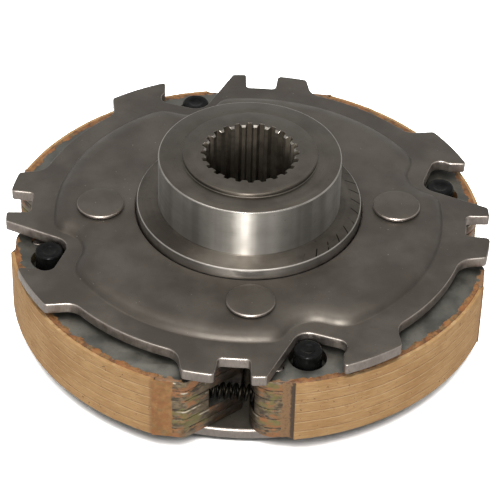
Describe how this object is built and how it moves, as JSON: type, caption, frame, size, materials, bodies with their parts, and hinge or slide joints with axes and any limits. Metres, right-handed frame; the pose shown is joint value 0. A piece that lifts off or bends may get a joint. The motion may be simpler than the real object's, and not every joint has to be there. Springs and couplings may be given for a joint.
{
  "type": "centrifugal clutch",
  "caption": "Wet centrifugal clutch: a splined hub and riveted notched plates carry hinged, laminated shoes whose friction lining swings out to grip a drum.",
  "frame": {"origin": "centre of the back plate's underside, on the shaft axis", "axes": "+Z along the shaft axis from the back plate to the hub's boss; +X and +Y through carrier rivets"},
  "size_m": [0.1358, 0.1358, 0.0497],
  "materials": {
    "hub_steel": "ground and turned",
    "plate_steel": "dark, oiled, stamped",
    "rivet_steel": "pressed",
    "spacer_steel": "turned",
    "pin_steel": "glossy black oxide",
    "lamination_steel": "dull, stamped",
    "friction_lining": "bonded fibre, fine grooves",
    "shoe_rivet_steel": "stained",
    "spring_steel": "drawn wire"
  },
  "bodies": {
    "carrier": {"hub": "hub_steel", "front_plate": "plate_steel", "back_plate": "plate_steel", "carrier_rivet_1": "rivet_steel", "spacer_1": "spacer_steel", "pivot_pin_1": "pin_steel", "carrier_rivet_2": "rivet_steel", "spacer_2": "spacer_steel", "pivot_pin_2": "pin_steel", "carrier_rivet_3": "rivet_steel", "spacer_3": "spacer_steel", "pivot_pin_3": "pin_steel", "carrier_rivet_4": "rivet_steel", "spacer_4": "spacer_steel", "pivot_pin_4": "pin_steel"},
    "shoe_1": {"shoe_1_plate_1": "lamination_steel", "shoe_1_plate_2": "lamination_steel", "shoe_1_plate_3": "lamination_steel", "shoe_1_plate_4": "lamination_steel", "shoe_1_plate_5": "lamination_steel", "shoe_1_plate_6": "lamination_steel", "lining_1": "friction_lining", "shoe_1_lobe_rivet": "shoe_rivet_steel", "shoe_1_tip_rivet": "shoe_rivet_steel", "return_spring_1": "spring_steel"},
    "shoe_2": {"shoe_2_plate_1": "lamination_steel", "shoe_2_plate_2": "lamination_steel", "shoe_2_plate_3": "lamination_steel", "shoe_2_plate_4": "lamination_steel", "shoe_2_plate_5": "lamination_steel", "shoe_2_plate_6": "lamination_steel", "lining_2": "friction_lining", "shoe_2_lobe_rivet": "shoe_rivet_steel", "shoe_2_tip_rivet": "shoe_rivet_steel", "return_spring_2": "spring_steel"},
    "shoe_3": {"shoe_3_plate_1": "lamination_steel", "shoe_3_plate_2": "lamination_steel", "shoe_3_plate_3": "lamination_steel", "shoe_3_plate_4": "lamination_steel", "shoe_3_plate_5": "lamination_steel", "shoe_3_plate_6": "lamination_steel", "lining_3": "friction_lining", "shoe_3_lobe_rivet": "shoe_rivet_steel", "shoe_3_tip_rivet": "shoe_rivet_steel", "return_spring_3": "spring_steel"},
    "shoe_4": {"shoe_4_plate_1": "lamination_steel", "shoe_4_plate_2": "lamination_steel", "shoe_4_plate_3": "lamination_steel", "shoe_4_plate_4": "lamination_steel", "shoe_4_plate_5": "lamination_steel", "shoe_4_plate_6": "lamination_steel", "lining_4": "friction_lining", "shoe_4_lobe_rivet": "shoe_rivet_steel", "shoe_4_tip_rivet": "shoe_rivet_steel", "return_spring_4": "spring_steel"}
  },
  "joints": [
    {"name": "shoe_1_swing", "type": "hinge", "parent": "carrier", "child": "shoe_1", "pos_m": [0.05519, 0.01504, 0.0135], "axis": [0, 0, -1], "range_deg": [-2.4, 0.4], "stiffness_Nm_per_rad": 3, "deforming": ["return_spring_1", "return_spring_4"]},
    {"name": "shoe_2_swing", "type": "hinge", "parent": "carrier", "child": "shoe_2", "pos_m": [-0.01504, 0.05519, 0.0135], "axis": [0, 0, -1], "range_deg": [-2.4, 0.4], "stiffness_Nm_per_rad": 3, "deforming": ["return_spring_2", "return_spring_1"]},
    {"name": "shoe_3_swing", "type": "hinge", "parent": "carrier", "child": "shoe_3", "pos_m": [-0.05519, -0.01504, 0.0135], "axis": [0, 0, -1], "range_deg": [-2.4, 0.4], "stiffness_Nm_per_rad": 3, "deforming": ["return_spring_3", "return_spring_2"]},
    {"name": "shoe_4_swing", "type": "hinge", "parent": "carrier", "child": "shoe_4", "pos_m": [0.01504, -0.05519, 0.0135], "axis": [0, 0, -1], "range_deg": [-2.4, 0.4], "stiffness_Nm_per_rad": 3, "deforming": ["return_spring_4", "return_spring_3"]}
  ]
}
